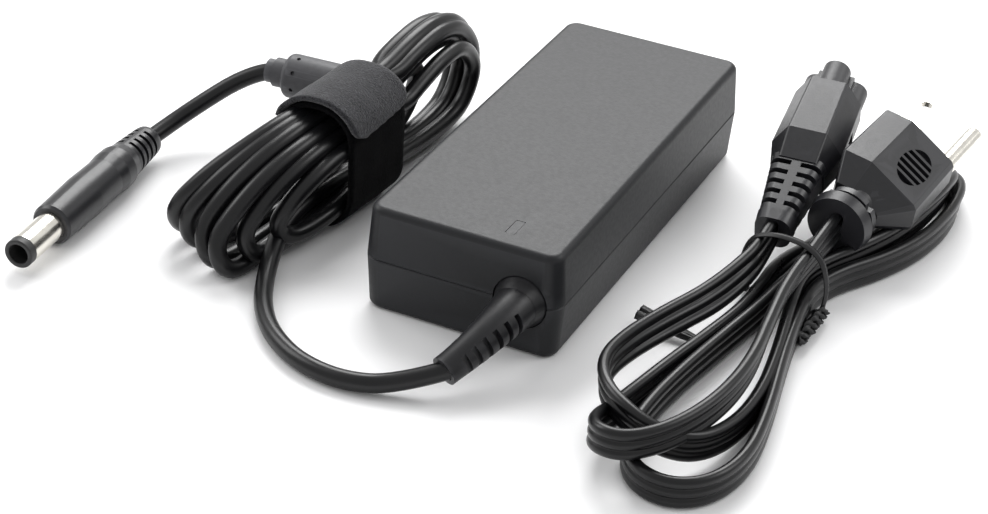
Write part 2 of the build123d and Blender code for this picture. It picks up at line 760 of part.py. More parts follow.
with BuildPart() as connector_overmould:
    # end collar and tapered strain relief
    with BuildSketch(connector_plane):
        RectangleRounded(8.8, 9.4, 3.2)
    with BuildSketch(connector_plane.offset(3.4)):
        RectangleRounded(9.4, 9.8, 3.2)
    loft()
    with BuildSketch(connector_plane.offset(3.4)):
        RectangleRounded(8.8, 9.0, 2.6)
    with BuildSketch(connector_plane.offset(22.0)):
        RectangleRounded(13.4, 10.4, 2.6)
    loft()
    # flare into the body
    with BuildSketch(connector_plane.offset(20.5)):
        add(connector_outline(6.8, 4.6, -5.6, 5.4, 1.6))
    with BuildSketch(connector_plane.offset(29.0)):
        add(connector_outline(8.9, 4.8, -7.0, 7.6, 2.2))
    loft(ruled=True)
    with BuildSketch(connector_plane.offset(29.0)):
        add(connector_outline(8.9, 4.8, -7.0, 7.6, 2.2))
    with BuildSketch(connector_plane.offset(shoulder)):
        add(connector_outline(8.5, 4.5, -6.6, 7.4, 2.2))
    loft(ruled=True)
    # five rows of flexing slots in two columns, above and below
    for row in range(5):
        for column in (-1, 1):
            for face in (-1, 1):
                with BuildSketch(connector_plane.offset(5.2 + 3.3 * row)):
                    with Locations((column * (3.2 + 0.22 * row), face * (3.9 + 0.18 * row))):
                        Rectangle(4.6 + 0.3 * row, 4.0)
                extrude(amount=1.5, mode=Mode.SUBTRACT)
    # finger recesses in the two sides
    for hand in (-1, 1):
        recess = connector_plane.offset(31.0)
        with BuildSketch(recess):
            with Locations((hand * 9.1, -3.2)):
                Rectangle(2.2, 5.2)
        extrude(amount=9.0, mode=Mode.SUBTRACT)
    # seat of the insert
    with BuildSketch(connector_plane.offset(shoulder - 6.0)):
        with Locations(*nose_centres):
            Circle(nose_radius)
        Rectangle(2 * nose_spread, 5.0)
    extrude(amount=12.0, mode=Mode.SUBTRACT)
    # bore for the cord
    with BuildSketch(connector_plane):
        RectangleRounded(mains_cord_thickness, mains_cord_width, 1.2)
    extrude(amount=10.0, mode=Mode.SUBTRACT)
connector_overmould.part.label = "connector_overmould"
export_step(connector_overmould.part, "parts/connector_overmould.step")

with BuildPart() as connector_insert:
    with BuildSketch(connector_plane.offset(shoulder - 6.0)):
        with Locations(*nose_centres):
            Circle(nose_radius)
        Rectangle(2 * nose_spread, 5.0)
    extrude(amount=nose_length + 6.0)
    nose_face = connector_insert.faces().sort_by(Axis(connector_start, connector_direction))[-1]
    chamfer(nose_face.edges(), length=0.5)
    with BuildSketch(connector_plane.offset(connector_length)):
        with Locations(*nose_centres):
            Circle(1.6)
    extrude(amount=-14.0, mode=Mode.SUBTRACT)
connector_insert.part.label = "connector_insert"
export_step(connector_insert.part, "parts/connector_insert.step")

with BuildPart() as connector_contacts:
    with BuildSketch(connector_plane.offset(connector_length - 1.2)):
        with Locations(*nose_centres):
            Circle(1.55)
        with Locations(*nose_centres):
            Circle(1.2, mode=Mode.SUBTRACT)
    extrude(amount=-12.0)
connector_contacts.part.label = "connector_contacts"
export_step(connector_contacts.part, "parts/connector_contacts.step")

# ---------------------------------------------------------------- mains plug
# Two flat blades and a round earth pin. Local Z runs from the cord to the
# blades, local +Y is the blade side; the plug lies on its side, so the earth
# pin points to the right.
mains_plug_start = Vector(65.6, 10.2, 15.0)
mains_plug_face = Vector(70.9, 48.1, 18.5)
mains_plug_direction = (mains_plug_face - mains_plug_start).normalized()
mains_plug_length = (mains_plug_face - mains_plug_start).length
roll = 82.2
level = mains_plug_direction.cross(Vector(0, 0, 1)).normalized()
rise = level.cross(mains_plug_direction)
rolled_side = level * -math.cos(math.radians(roll)) - rise * math.sin(math.radians(roll))
blade_side = mains_plug_direction.cross(rolled_side)
mains_plug_plane = Plane(mains_plug_start, x_dir=rolled_side, z_dir=mains_plug_direction)
mains_plug_axis = Axis(mains_plug_start, mains_plug_direction)
blade_spacing = 12.7
blade_width = 6.3
blade_thickness = 1.5
blade_length = 16.5
blade_hole = 3.1
earth_offset = 11.9
earth_radius = 2.38
earth_length = 20.0
earth_root_radius = 2.2
plug_widest = 15.7
plug_neck = 8.5
grip_slope = math.radians(25.8)


def mains_plug_outline(scale):
    """Plug section that narrows from the blades down to the earth side."""
    with BuildSketch() as outline:
        with BuildLine():
            Polyline(
                (-9.6 * scale, 6.4 * scale),
                (9.6 * scale, 6.4 * scale),
                (10.2 * scale, 5.8 * scale),
                (10.2 * scale, -1.4 * scale),
                (3.9 * scale, -14.4 * scale),
                (2.6 * scale, -15.3 * scale),
                (-2.6 * scale, -15.3 * scale),
                (-3.9 * scale, -14.4 * scale),
                (-10.2 * scale, -1.4 * scale),
                (-10.2 * scale, 5.8 * scale),
                close=True,
            )
        make_face()
        fillet(outline.vertices(), radius=0.5 * scale)
    return outline.sketch


with BuildPart() as mains_plug_overmould:
    with BuildSketch(mains_plug_plane.offset(plug_widest)):
        add(mains_plug_outline(1.0))
    with BuildSketch(mains_plug_plane.offset(mains_plug_length)):
        add(mains_plug_outline(0.96))
    loft(ruled=True)
    with BuildSketch(mains_plug_plane.offset(plug_neck)):
        add(mains_plug_outline(0.56))
    with BuildSketch(mains_plug_plane.offset(plug_widest)):
        add(mains_plug_outline(1.0))
    loft(ruled=True)
    # strain relief: end flange, neck and slotted collar
    with BuildSketch(mains_plug_plane):
        with Locations((0, -2.0)):
            Circle(7.6)
    with BuildSketch(mains_plug_plane.offset(3.0)):
        with Locations((0, -2.0)):
            Circle(8.2)
    loft()
    with BuildSketch(mains_plug_plane.offset(2.9)):
        with Locations((0, -2.0)):
            Circle(5.6)
    extrude(amount=8.0)
    with BuildSketch(mains_plug_plane.offset(5.0)):
        with Locations((0, -2.0)):
            Circle(7.2)
    extrude(amount=1.9)
    for quarter in range(4):
        angle = math.radians(45 + 90 * quarter)
        with BuildSketch(mains_plug_plane.offset(4.9)):
            with Locations((7.2 * math.cos(angle), 7.2 * math.sin(angle) - 2.0)):
                Rectangle(1.6, 1.6)
        extrude(amount=2.1, mode=Mode.SUBTRACT)
    # shallow oval grip on both sides, with fine ridges left standing
    for hand in (-1, 1):
        grip = Plane(
            mains_plug_plane.from_local_coords((hand * 7.4, -9.3, 26.0)),
            x_dir=mains_plug_direction,
            z_dir=rolled_side * (-hand * math.cos(grip_slope)) + blade_side * math.sin(grip_slope),
        )
        with BuildSketch(grip):
            Ellipse(7.2, 4.2)
            for ridge in range(-2, 3):
                with Locations((ridge * 2.3, 0)):
                    Rectangle(0.9, 12, mode=Mode.SUBTRACT)
        extrude(amount=2.2, mode=Mode.SUBTRACT)
    # pockets of the blades and the earth pin
    with BuildSketch(mains_plug_plane.offset(mains_plug_length)):
        with GridLocations(blade_spacing, 0, 2, 1):
            Rectangle(blade_thickness, blade_width)
        with Locations((0, -earth_offset)):
            Circle(earth_root_radius)
    extrude(amount=-12.0, mode=Mode.SUBTRACT)
    with BuildSketch(mains_plug_plane):
        with Locations((0, -2.0)):
            RectangleRounded(mains_cord_width, mains_cord_thickness, 1.2)
    extrude(amount=8.0, mode=Mode.SUBTRACT)
mains_plug_overmould.part.label = "mains_plug_overmould"
export_step(mains_plug_overmould.part, "parts/mains_plug_overmould.step")

for blade_name, hand in (("line_blade", 1), ("neutral_blade", -1)):
    with BuildPart() as blade:
        with BuildSketch(mains_plug_plane.offset(mains_plug_length - 11.9)):
            with Locations((hand * blade_spacing / 2, 0)):
                Rectangle(blade_thickness, blade_width)
        extrude(amount=blade_length + 11.9)
        tip_edges = blade.edges().sort_by(mains_plug_axis)[-4:]
        chamfer(tip_edges, length=0.5)
        hole_centre = mains_plug_plane.from_local_coords(
            (hand * blade_spacing / 2 - 3, 0, mains_plug_length + 12.4)
        )
        with BuildSketch(Plane(hole_centre, x_dir=mains_plug_direction, z_dir=rolled_side)):
            Circle(blade_hole / 2)
        extrude(amount=6.0, mode=Mode.SUBTRACT)
    blade.part.label = blade_name
    export_step(blade.part, "parts/" + blade_name + ".step")

with BuildPart() as earth_pin:
    # narrower root held in the plug, then the pin itself
    with BuildSketch(mains_plug_plane.offset(mains_plug_length - 11.9)):
        with Locations((0, -earth_offset)):
            Circle(earth_root_radius)
    extrude(amount=11.9 + shank_relief)
    with BuildSketch(mains_plug_plane.offset(mains_plug_length + shank_relief)):
        with Locations((0, -earth_offset)):
            Circle(earth_radius)
    extrude(amount=earth_length - shank_relief)
    fillet(earth_pin.edges().sort_by(mains_plug_axis)[-1], radius=1.6)
earth_pin.part.label = "earth_pin"
export_step(earth_pin.part, "parts/earth_pin.step")

# ---------------------------------------------------------------- twist tie
tie_y = -7.0
tie_band = 2.0
tie_width = 21.0
tie_height = 17.6
tie_thickness = 0.8
tie_corner = 7.0
tie_plane = Plane((61.6, tie_y, 0.1 + tie_height / 2), x_dir=(1, -0.12, 0), z_dir=(0.12, 1, 0))

with BuildPart() as twist_tie:
    with BuildSketch(tie_plane):
        RectangleRounded(tie_width, tie_height, tie_corner)
        RectangleRounded(
            tie_width - 2 * tie_thickness,
            tie_height - 2 * tie_thickness,
            tie_corner - tie_thickness,
            mode=Mode.SUBTRACT,
        )
    extrude(amount=tie_band)
twist_tie.part.label = "twist_tie"
export_step(twist_tie.part, "parts/twist_tie.step")

with BuildPart() as twist_tie_ends:
    # twisted stretch beside the hank
    with BuildSketch(Plane((72.8, -10.5, 2.2), x_dir=(1, 0, 0), z_dir=(0.0, -1, 0))):
        RectangleRounded(2.6, 3.6, 0.9)
    extrude(amount=13.0)
    # two loose tips that come out on the other side
    for tip in (-1, 1):
        with BuildSketch(Plane((46.7, -33.5 + tip, 3.4), x_dir=(0, 1, 0), z_dir=(-1, 0.12 * tip, 0.05))):
            RectangleRounded(0.9, 2.4, 0.4)
        extrude(amount=12.5)
twist_tie_ends.part.label = "twist_tie_ends"
export_step(twist_tie_ends.part, "parts/twist_tie_ends.step")

# ---------------------------------------------------------------- mains lead hank
# Flat three-core lead folded into three tied turns: one closed solid of the
# outer shape of the turns, open inside the near loop.
hank_outline = [
    (40.5, -53.0),
    (39.5, -69.0),
    (44.5, -84.0),
    (55.0, -92.5),
    (66.0, -95.5),
    (74.5, -90.5),
    (78.5, -77.0),
    (75.0, -54.0),
    (69.6, -20.0),
    (70.8, -3.0),
    (78.5, 11.0),
    (86.0, 24.0),
    (88.0, 43.0),
    (85.5, 64.0),
    (80.5, 70.5),
    (75.0, 62.0),
    (68.5, 42.0),
    (61.0, 20.0),
    (54.0, 3.0),
    (52.0, -13.0),
    (48.0, -33.0),
]
near_opening = [
    (47.0, -48.0),
    (49.5, -64.0),
    (59.0, -76.0),
    (65.5, -68.0),
    (66.0, -48.0),
    (60.5, -26.0),
    (54.5, -28.0),
]
base_height = 8.0
upper_height = 7.4

with BuildPart() as mains_cord_hank:
    with BuildSketch(Plane.XY.offset(0.05)) as turns_outline:
        with BuildLine():
            Polyline(*hank_outline, close=True)
        make_face()
        fillet(turns_outline.vertices(), radius=3.5)
    extrude(amount=base_height)
    with BuildSketch(Plane.XY.offset(base_height)) as upper_outline:
        with BuildLine():
            Polyline(*hank_outline, close=True)
        make_face()
        fillet(upper_outline.vertices(), radius=3.5)
        with Locations((63, 60)):
            Rectangle(80, 106, mode=Mode.SUBTRACT)
    extrude(amount=upper_height)
    with BuildSketch(Plane.XY) as opening_outline:
        with BuildLine():
            Polyline(*near_opening, close=True)
        make_face()
        fillet(opening_outline.vertices(), radius=3.0)
    extrude(amount=base_height + upper_height + 1, mode=Mode.SUBTRACT)
    # room for the two moulded ends and for the tie
    add(connector_overmould.part, mode=Mode.SUBTRACT)
    add(mains_plug_overmould.part, mode=Mode.SUBTRACT)
    with BuildSketch(tie_plane):
        RectangleRounded(tie_width, tie_height, tie_corner)
        RectangleRounded(
            tie_width - 2 * tie_thickness,
            tie_height - 2 * tie_thickness,
            tie_corner - tie_thickness,
            mode=Mode.SUBTRACT,
        )
    extrude(amount=tie_band, mode=Mode.SUBTRACT)
mains_cord_hank.part.label = "mains_cord_hank"
export_step(mains_cord_hank.part, "parts/mains_cord_hank.step")
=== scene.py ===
import math

import bmesh
import bpy
from mathutils import Matrix, Vector, noise


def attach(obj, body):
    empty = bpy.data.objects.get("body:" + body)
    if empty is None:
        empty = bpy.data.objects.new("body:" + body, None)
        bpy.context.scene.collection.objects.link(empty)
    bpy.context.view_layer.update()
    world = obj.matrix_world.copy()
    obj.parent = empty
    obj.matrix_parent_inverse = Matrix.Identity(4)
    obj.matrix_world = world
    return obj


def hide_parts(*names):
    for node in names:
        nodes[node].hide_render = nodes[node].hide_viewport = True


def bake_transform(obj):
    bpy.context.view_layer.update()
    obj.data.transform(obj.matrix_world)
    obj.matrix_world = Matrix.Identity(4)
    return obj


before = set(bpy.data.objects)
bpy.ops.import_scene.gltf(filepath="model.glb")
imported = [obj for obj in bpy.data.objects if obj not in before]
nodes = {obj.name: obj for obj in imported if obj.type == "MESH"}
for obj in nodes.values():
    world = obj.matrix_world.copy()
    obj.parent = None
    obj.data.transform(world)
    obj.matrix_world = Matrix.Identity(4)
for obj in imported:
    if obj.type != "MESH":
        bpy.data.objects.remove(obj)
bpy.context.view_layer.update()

# Laptop power adapter: brick, strapped DC lead with ferrite and barrel plug, tied mains lead.
# The object's lengths are written in millimetres and turned into metres by mm(). Lamps and
# the floor are placed in metres, and texture scales count features per metre.
scene = bpy.context.scene
MM = 0.001


def mm(point):
    """A point in millimetres as a vector in metres."""
    return Vector(point) * MM


def mix(first, second, share):
    """The point that lies share of the way from first to second."""
    return tuple(a + (b - a) * share for a, b in zip(first, second))


# ---------------------------------------------------------------- camera and light
view_position = (197.7, -488.7, 308.9)
view_direction = Vector((-0.3438, 0.7829, -0.5185))
view_roll = math.radians(3.5)
focal_length = 89.3

camera_data = bpy.data.cameras.new("camera")
camera_data.lens = focal_length
camera_data.sensor_width = 36.0
camera_data.clip_start = 0.01
camera = bpy.data.objects.new("camera", camera_data)
camera.location = mm(view_position)
turn = view_direction.to_track_quat("-Z", "Y").to_matrix()
camera.rotation_euler = (turn @ Matrix.Rotation(view_roll, 3, "Z")).to_euler()
scene.collection.objects.link(camera)
scene.camera = camera
scene.view_settings.view_transform = "Standard"

world = bpy.data.worlds.new("studio")
scene.world = world
world.use_nodes = True
backdrop = world.node_tree.nodes["Background"]
backdrop.inputs["Color"].default_value = (1.0, 1.0, 1.0, 1.0)
backdrop.inputs["Strength"].default_value = 0.68


def area_light(name, position, target, size, power):
    """A square soft box that points at target."""
    data = bpy.data.lights.new(name, "AREA")
    data.size = size
    data.energy = power
    lamp = bpy.data.objects.new(name, data)
    lamp.location = position
    lamp.rotation_euler = (Vector(target) - Vector(position)).to_track_quat("-Z", "Y").to_euler()
    scene.collection.objects.link(lamp)


area_light("soft_box_back", (-0.35, 0.85, 0.95), (0, 0, 0.01), 0.8, 15.0)
area_light("soft_box_left", (-0.95, -0.05, 0.75), (-0.03, 0, 0.01), 0.6, 4.5)
area_light("soft_box_right", (0.75, 0.45, 0.75), (0.03, 0, 0.01), 0.5, 3.0)

# ---------------------------------------------------------------- materials


class Shader:
    """A node material built up step by step from one Principled shader."""

    def __init__(self, name, color, roughness, metallic=0.0, specular=0.5, coat=0.0, sheen=0.0):
        self.material = bpy.data.materials.new(name)
        self.material.use_nodes = True
        self.tree = self.material.node_tree
        self.main = self.tree.nodes["Principled BSDF"]
        self.color = color
        self.roughness = roughness
        self.set("Base Color", (*color, 1.0))
        self.set("Roughness", roughness)
        self.set("Metallic", metallic)
        self.set("Specular IOR Level", specular)
        self.set("Coat Weight", coat)
        self.set("Sheen Weight", sheen)
        self.height = None
        self.coordinates = self.add("ShaderNodeTexCoord").outputs["Object"]

    def set(self, socket, value):
        self.main.inputs[socket].default_value = value

    def add(self, kind, **settings):
        node = self.tree.nodes.new(kind)
        for key, value in settings.items():
            setattr(node, key, value)
        return node

    def link(self, output, socket):
        self.tree.links.new(output, socket)

    def noise(self, scale, detail=3.0, stretch=(1, 1, 1)):
        """Noise texture value, scale in features per metre."""
        mapping = self.add("ShaderNodeMapping")
        mapping.inputs["Scale"].default_value = stretch
        self.link(self.coordinates, mapping.inputs["Vector"])
        texture = self.add("ShaderNodeTexNoise")
        texture.inputs["Scale"].default_value = scale
        texture.inputs["Detail"].default_value = detail
        self.link(mapping.outputs["Vector"], texture.inputs["Vector"])
        return texture.outputs["Fac"]

    def spread(self, value, low, high):
        """Maps a texture value from 0.3-0.7 to low-high."""
        ranged = self.add("ShaderNodeMapRange")
        ranged.inputs["From Min"].default_value = 0.3
        ranged.inputs["From Max"].default_value = 0.7
        ranged.inputs["To Min"].default_value = low
        ranged.inputs["To Max"].default_value = high
        self.link(value, ranged.inputs["Value"])
        return ranged.outputs["Result"]

    def vary_roughness(self, scale, amount):
        value = self.spread(self.noise(scale), self.roughness - amount, self.roughness + amount)
        self.link(value, self.main.inputs["Roughness"])
        return self

    def vary_color(self, scale, amount, detail=4.0, stretch=(1, 1, 1)):
        """Colour that drifts lighter and darker by a share of itself."""
        blend = self.add("ShaderNodeMix", data_type="RGBA")
        blend.inputs["A"].default_value = (*[c * (1 - amount) for c in self.color], 1.0)
        blend.inputs["B"].default_value = (*[min(1, c * (1 + amount)) for c in self.color], 1.0)
        self.link(self.spread(self.noise(scale, detail, stretch), 0.0, 1.0), blend.inputs["Factor"])
        self.link(blend.outputs["Result"], self.main.inputs["Base Color"])
        return self

    def wear(self, color, sharpness, amount):
        """Lighter rubbed edges, from the mesh's own curvature."""
        geometry = self.add("ShaderNodeNewGeometry")
        edge = self.add("ShaderNodeMapRange")
        edge.inputs["From Min"].default_value = 0.5 + sharpness
        edge.inputs["From Max"].default_value = 0.5 + 2 * sharpness
        edge.inputs["To Max"].default_value = amount
        self.link(geometry.outputs["Pointiness"], edge.inputs["Value"])
        base = self.main.inputs["Base Color"]
        blend = self.add("ShaderNodeMix", data_type="RGBA")
        blend.inputs["A"].default_value = base.default_value
        if base.links:
            self.link(base.links[0].from_socket, blend.inputs["A"])
        blend.inputs["B"].default_value = (*color, 1.0)
        self.link(edge.outputs["Result"], blend.inputs["Factor"])
        self.link(blend.outputs["Result"], base)
        return self

    def bump(self, value, depth, strength=1.0):
        """Adds relief of that depth, in millimetres, on top of earlier relief."""
        relief = self.add("ShaderNodeBump")
        relief.inputs["Strength"].default_value = strength
        relief.inputs["Distance"].default_value = depth * MM
        self.link(value, relief.inputs["Height"])
        if self.height is not None:
            self.link(self.height, relief.inputs["Normal"])
        self.height = relief.outputs["Normal"]
        self.link(self.height, self.main.inputs["Normal"])
        return self


def moulded(name, color, roughness, grain=1600, depth=0.03, **settings):
    """Moulded plastic with spark-eroded grain, a fine colour speckle and rubbed edges."""
    shader = Shader(name, color, roughness, **settings)
    shader.vary_roughness(900, 0.03)
    shader.vary_color(700, 0.12)
    shader.wear([min(1, c * 2.0 + 0.01) for c in color], 0.03, 0.5)
    shader.bump(shader.noise(grain, 2.0), depth, 0.6)
    return shader.material


def metal(name, color, roughness, brush=(1, 1, 1)):
    """Plated or stamped metal with faint drawing marks and smudges."""
    shader = Shader(name, color, roughness, metallic=1.0)
    shader.vary_roughness(300, 0.06)
    shader.vary_color(420, 0.05, stretch=brush)
    shader.bump(shader.noise(2600, 3.0, brush), 0.012, 0.5)
    return shader.material


def cord_jacket(name, color, roughness):
    """Extruded PVC: smooth, slightly wavy gloss with fine scuffs."""
    shader = Shader(name, color, roughness, specular=0.34, coat=0.06)
    shader.set("Coat Roughness", 0.2)
    shader.vary_roughness(130, 0.06)
    shader.vary_color(60, 0.15)
    shader.bump(shader.noise(700, 2.0), 0.02, 0.35)
    shader.bump(shader.noise(60, 2.0), 0.15, 0.2)
    return shader.material


def fuzz(name, color, sheen):
    """Pile of hook-and-loop tape: fine light and dark specks with a fibrous relief."""
    shader = Shader(name, color, 0.9, specular=0.04, sheen=sheen)
    shader.set("Sheen Roughness", 0.5)
    shader.vary_color(2300, 0.95, detail=8.0)
    shader.bump(shader.noise(2100, 6.0), 0.35, 0.9)
    shader.bump(shader.noise(4400, 4.0), 0.25, 1.0)
    return shader.material


case_black = moulded("case_black", (0.0055, 0.006, 0.0078), 0.45, grain=2400, depth=0.03, specular=0.36)
window_black = moulded("window_black", (0.0055, 0.006, 0.0078), 0.45, grain=900, depth=0.004, specular=0.36)
relief_black = moulded("relief_black", (0.006, 0.006, 0.0075), 0.40, grain=1500, depth=0.02, specular=0.42)
plug_black = moulded("plug_black", (0.0085, 0.0085, 0.0105), 0.34, grain=1900, depth=0.02, specular=0.5)
sleeve_grey = moulded("sleeve_grey", (0.047, 0.047, 0.052), 0.50, grain=1900, depth=0.02)
insert_black = moulded("insert_black", (0.028, 0.028, 0.030), 0.42)
liner_black = moulded("liner_black", (0.012, 0.012, 0.012), 0.5)
dc_jacket = cord_jacket("dc_jacket", (0.0035, 0.0035, 0.0042), 0.34)
mains_jacket = cord_jacket("mains_jacket", (0.0035, 0.0035, 0.0042), 0.32)
tie_black = cord_jacket("tie_black", (0.012, 0.012, 0.013), 0.40)
# one hook-and-loop tape in two colours: the band's near-black colour is painted shade on its sides
pile_shaded = fuzz("pile_shaded", (0.0025, 0.0025, 0.003), 0.02)
# the lap's lighter colour is painted light on the top of the same tape
pile_lit = fuzz("pile_lit", (0.030, 0.030, 0.034), 0.28)
nickel = metal("nickel", (0.86, 0.83, 0.76), 0.22)
contact_plate = metal("contact_plate", (0.80, 0.68, 0.42), 0.28)
aluminium = metal("aluminium", (0.74, 0.75, 0.77), 0.38, brush=(0.1, 1, 1))
copper = metal("copper", (0.72, 0.36, 0.17), 0.32, brush=(0.2, 1, 1))
ferrite = moulded("ferrite_ceramic", (0.075, 0.075, 0.08), 0.6, grain=1200, depth=0.05)
board = moulded("board_laminate", (0.05, 0.20, 0.09), 0.42, grain=500, depth=0.02)
film = moulded("insulator_film", (0.78, 0.78, 0.70), 0.45)
label = moulded("label_film", (0.060, 0.060, 0.064), 0.35, grain=900, depth=0.006)
glaze = moulded("fuse_glaze", (0.72, 0.69, 0.62), 0.25, grain=400, depth=0.01)
yellow = moulded("film_capacitor", (0.72, 0.58, 0.10), 0.45)
tape = moulded("winding_tape", (0.78, 0.66, 0.18), 0.35)
epoxy = moulded("chip_epoxy", (0.035, 0.035, 0.037), 0.55)
sleeve_blue = moulded("capacitor_sleeve", (0.03, 0.05, 0.13), 0.28, grain=400, depth=0.01)
disc_blue = moulded("disc_coating", (0.09, 0.24, 0.48), 0.35)
led_green = moulded("led_resin", (0.35, 0.75, 0.40), 0.25, grain=400, depth=0.01)
wire_red = moulded("wire_red", (0.45, 0.035, 0.035), 0.38)

node_material = {
    "top_cover": case_black,
    "bottom_case": case_black,
    "indicator_window": window_black,
    "rating_label": label,
    "inlet_housing": insert_black,
    "inlet_pins": contact_plate,
    "insulator_sheet": film,
    "circuit_board": board,
    "heat_spreader": aluminium,
    "mains_fuse": glaze,
    "x_capacitor": yellow,
    "choke_core": ferrite,
    "choke_windings": copper,
    "bridge_rectifier": epoxy,
    "bulk_capacitor": sleeve_blue,
    "primary_heatsink": aluminium,
    "switching_transistor": epoxy,
    "transformer_core": ferrite,
    "transformer_winding": tape,
    "y_capacitor": disc_blue,
    "optocoupler": epoxy,
    "secondary_heatsink": aluminium,
    "output_rectifier": epoxy,
    "output_capacitors": sleeve_blue,
    "indicator_led": led_green,
    "output_wires": wire_red,
    "dc_strain_relief": relief_black,
    "dc_cord_lead": dc_jacket,
    "dc_cord_tail": dc_jacket,
    "dc_cord_hank": dc_jacket,
    # the strap is one tape: painted shade on the band, painted light on the lap
    "cable_strap": pile_shaded,
    "cable_strap_tail": pile_lit,
    "ferrite_core": ferrite,
    "ferrite_sleeve": sleeve_grey,
    "dc_plug_handle": plug_black,
    "dc_plug_barrel": nickel,
    "dc_plug_liner": liner_black,
    "dc_plug_tip_ring": liner_black,
    "dc_plug_centre_pin": contact_plate,
    "connector_overmould": plug_black,
    "connector_insert": insert_black,
    "connector_contacts": contact_plate,
    "mains_plug_overmould": plug_black,
    "line_blade": nickel,
    "neutral_blade": nickel,
    "earth_pin": nickel,
    "mains_cord_hank": mains_jacket,
    "twist_tie": tie_black,
    "twist_tie_ends": tie_black,
}
for name, material in node_material.items():
    mesh = nodes[name].data
    mesh.materials.clear()
    mesh.materials.append(material)

# ---------------------------------------------------------------- mesh helpers


def make_object(name, vertices, faces, material, smooth=True):
    """A mesh object from points in metres, with outward normals."""
    mesh = bpy.data.meshes.new(name)
    mesh.from_pydata([tuple(v) for v in vertices], [], faces)
    made = bpy.data.objects.new(name, mesh)
    scene.collection.objects.link(made)
    shell = bmesh.new()
    shell.from_mesh(mesh)
    bmesh.ops.recalc_face_normals(shell, faces=shell.faces)
    shell.to_mesh(mesh)
    shell.free()
    mesh.materials.append(material)
    for face in mesh.polygons:
        face.use_smooth = smooth
    return made


def tube_faces(rings, corners, close_ring=True):
    """Quads between consecutive rings of corners points, with end caps."""
    faces = []
    for ring in range(rings - 1):
        for corner in range(corners):
            following = (corner + 1) % corners
            faces.append(
                (
                    ring * corners + corner,
                    ring * corners + following,
                    (ring + 1) * corners + following,
                    (ring + 1) * corners + corner,
                )
            )
    if close_ring:
        faces.append(tuple(range(corners)))
        faces.append(tuple((rings - 1) * corners + corner for corner in reversed(range(corners))))
    return faces


def nurbs_curve(name, route):
    """An open NURBS curve with these points, in millimetres, as control points."""
    data = bpy.data.curves.new(name, "CURVE")
    data.dimensions = "3D"
    spline = data.splines.new("NURBS")
    spline.points.add(len(route) - 1)
    for point, place in zip(spline.points, route):
        point.co = (*mm(place), 1.0)
    spline.order_u = 3
    spline.use_endpoint_u = True
    spline.resolution_u = 8
    data.resolution_u = 8
    return data


def route_points(name, route):
    """Points along the NURBS curve of a route, in metres."""
    data = nurbs_curve(name + "_line", route)
    holder = bpy.data.objects.new(name + "_line", data)
    line = bpy.data.meshes.new_from_object(holder)
    points = [v.co.copy() for v in line.vertices]
    bpy.data.objects.remove(holder)
    bpy.data.curves.remove(data)
    bpy.data.meshes.remove(line)
    return points


# ---------------------------------------------------------------- DC cord
# Out of the strain relief, round on the surface, six turns in the strapped hank,
# back through the ferrite and down to the plug.
dc_diameter = 4.5
floor_z = dc_diameter / 2 + 0.05
lead_route = [
    (9.9, -80.8, 7.1),
    (-0.5, -87.4, 3.2),
    (-11.8, -90.6, floor_z),
    (-24.0, -88.8, floor_z),
    (-35.0, -82.0, floor_z),
    (-42.8, -72.6, floor_z),
    (-47.8, -62.6, floor_z + 0.4),
    (-50.8, -54.0, floor_z + 2.6),
    (-52.6, -46.0, floor_z + 4.6),
    (-52.8, -37.0, floor_z + 5.8),
    (-51.0, -27.0, floor_z + 6.6),
    (-50.0, -12.0, floor_z + 5.2),
]
tail_route = [
    (-84.0, 1.7, 20.0),
    (-91.0, -2.2, 16.8),
    (-97.6, -8.2, 11.6),
    (-102.6, -15.8, 7.4),
    (-104.5, -24.2, 5.8),
]
# one turn's points at the hank's far end, bottom strand first, for the outermost and innermost turn
far_outer = [
    (-52.0, 0.0, 4.5),
    (-51.0, 12.0, 2.6),
    (-50.0, 28.0, 2.4),
    (-49.5, 39.0, 5.5),
    (-49.5, 45.0, 17.0),
    (-50.0, 38.5, 28.0),
    (-51.0, 27.0, 32.4),
    (-52.0, 14.0, 31.6),
    (-53.0, 2.0, 28.6),
]
far_inner = [
    (-47.0, 0.0, 6.5),
    (-46.5, 12.0, 5.0),
    (-45.5, 26.0, 5.0),
    (-44.5, 34.0, 8.0),
    (-44.0, 38.5, 17.0),
    (-44.5, 31.0, 25.0),
    (-45.0, 21.0, 25.3),
    (-46.0, 11.0, 22.5),
    (-47.0, 2.0, 19.0),
]
# and at the near end, top strand first, for four of the turns from left to right
near_left = [
    (-57.0, -10.0, 28.6),
    (-57.0, -28.0, 29.2),
    (-58.6, -37.0, 29.0),
    (-62.6, -46.0, 26.0),
    (-69.2, -54.0, 20.0),
    (-76.0, -58.5, 11.0),
    (-76.5, -52.0, floor_z),
    (-69.5, -41.0, floor_z),
    (-60.0, -28.0, 3.6),
    (-57.0, -12.0, 4.4),
]
near_third = [
    (-53.5, -10.0, 27.5),
    (-53.5, -28.0, 28.4),
    (-55.0, -38.0, 28.0),
    (-58.0, -48.0, 25.0),
    (-62.4, -57.0, 18.5),
    (-66.4, -61.5, 9.5),
    (-62.0, -63.5, floor_z),
    (-58.8, -51.0, floor_z),
    (-55.5, -34.0, 4.0),
    (-53.5, -14.0, 5.5),
]
near_fourth = [
    (-50.2, -10.0, 25.6),
    (-50.2, -28.0, 26.4),
    (-51.2, -38.0, 26.2),
    (-53.8, -48.0, 23.8),
    (-57.2, -58.0, 18.0),
    (-60.6, -65.0, 9.5),
    (-56.6, -65.5, floor_z),
    (-55.2, -52.0, floor_z),
    (-52.5, -36.0, 4.0),
    (-50.0, -14.0, 6.5),
]
